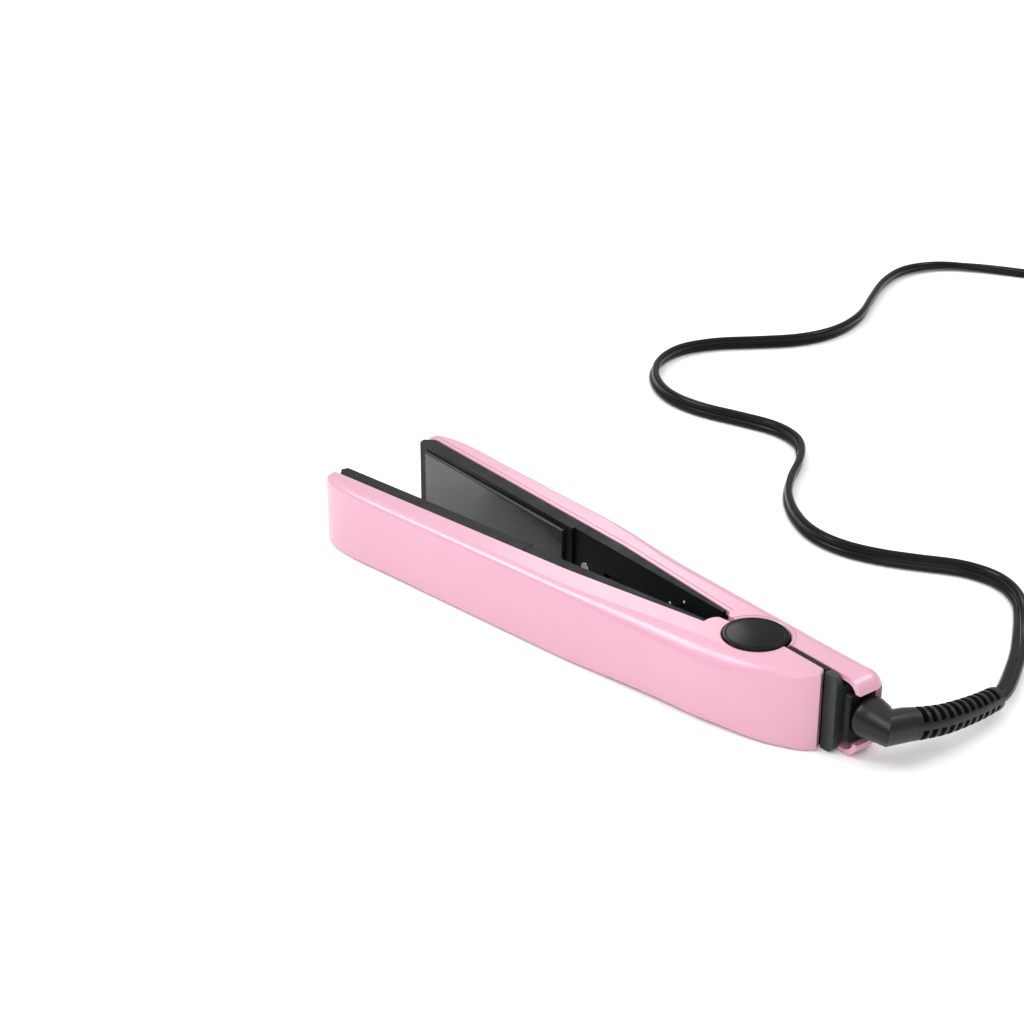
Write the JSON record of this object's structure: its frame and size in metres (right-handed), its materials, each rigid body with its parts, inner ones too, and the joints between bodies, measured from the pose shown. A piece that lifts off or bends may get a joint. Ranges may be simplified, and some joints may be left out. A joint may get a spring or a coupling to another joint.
{
  "type": "flat iron",
  "caption": "Hair flat iron lying open on its side: two gloss arms on a capped hinge, floating ceramic plates, swivel cord in a coil.",
  "frame": {"origin": "on the hinge axis, at the flat underside of the lower hinge cap, in the plane that the iron lies on", "axes": "+X from the hinge to the tip along the rear arm, +Y from the rear arm to the front arm, +Z along the hinge axis, out of the side that faces up"},
  "size_m": [0.3428, 0.5913, 0.0309],
  "materials": {
    "pink_shell": "polished injection-moulded pink plastic",
    "black_plastic": "satin heat-resistant black plastic",
    "charcoal": "satin charcoal plastic",
    "gloss_black": "polished black plastic",
    "black_rubber": "soft moulded black rubber",
    "cord_vinyl": "black vinyl with a soft sheen",
    "tie": "black hook-and-loop tape",
    "ceramic": "dark ceramic coating on aluminium",
    "aluminium": "die-cast heater body",
    "steel": "plated steel",
    "spring_steel": "bright spring steel",
    "brass": "stamped brass",
    "board": "green circuit board",
    "clear_lens": "clear moulded lens",
    "silicone": "silicone-sleeved heat-proof wire"
  },
  "bodies": {
    "rear_arm": {"rear_shell": "pink_shell", "rear_liner": "black_plastic", "rear_carrier": "black_plastic", "indicator_lens": "clear_lens", "control_board": "board", "thermal_fuse": "brass", "supply_lead": "silicone", "rear_heater_lead": "silicone", "rear_leaf_spring_1": "spring_steel", "rear_leaf_spring_2": "spring_steel", "rear_screw_1": "steel", "rear_screw_2": "steel", "hinge_pin": "steel", "upper_cap": "gloss_black", "lower_cap": "gloss_black", "lower_washer": "steel", "upper_washer": "steel", "tail_block": "charcoal", "swivel_socket": "black_plastic", "cord": "cord_vinyl", "cord_coil": "cord_vinyl", "cord_tie": "tie", "plug_lead": "cord_vinyl", "plug_body": "cord_vinyl", "plug_blade_1": "brass", "plug_blade_2": "brass"},
    "front_arm": {"front_shell": "pink_shell", "front_liner": "black_plastic", "front_carrier": "black_plastic", "front_heater_lead": "silicone", "front_leaf_spring_1": "spring_steel", "front_leaf_spring_2": "spring_steel", "front_screw_1": "steel", "front_screw_2": "steel", "hinge_spring": "spring_steel"},
    "rear_plate_set": {"rear_plate": "ceramic", "rear_heater": "aluminium"},
    "front_plate_set": {"front_plate": "ceramic", "front_heater": "aluminium"},
    "dial": {"temperature_dial": "black_plastic"},
    "switch": {"power_switch": "black_plastic"},
    "swivel": {"swivel_ball": "black_rubber", "strain_relief": "black_rubber"}
  },
  "joints": [
    {"name": "arm_hinge", "type": "hinge", "parent": "rear_arm", "child": "front_arm", "pos_m": [0, 0, 0.015], "axis": [0, 0, 1], "range_deg": [-9.8, 0], "stiffness_Nm_per_rad": 1, "springref_deg": 14.32},
    {"name": "rear_plate_float", "type": "slide", "parent": "rear_arm", "child": "rear_plate_set", "axis": [0, 1, 0], "range_m": [-0.001, 0], "stiffness_N_per_m": 1500, "springref_m": 0.002},
    {"name": "front_plate_float", "type": "slide", "parent": "front_arm", "child": "front_plate_set", "axis": [0.1702, -0.9854, 0], "range_m": [-0.001, 0], "stiffness_N_per_m": 1500, "springref_m": 0.002},
    {"name": "temperature_turn", "type": "hinge", "parent": "rear_arm", "child": "dial", "pos_m": [0.04, -0.004, 0.015], "axis": [0, 1, 0], "range_deg": [0, 270]},
    {"name": "power_slide", "type": "slide", "parent": "rear_arm", "child": "switch", "axis": [1, 0, 0], "range_m": [0, 0.003]},
    {"name": "cord_swivel", "type": "hinge", "parent": "rear_arm", "child": "swivel", "pos_m": [-0.045, -0.0104, 0.0155], "axis": [-1, 0, 0], "continuous": true}
  ]
}
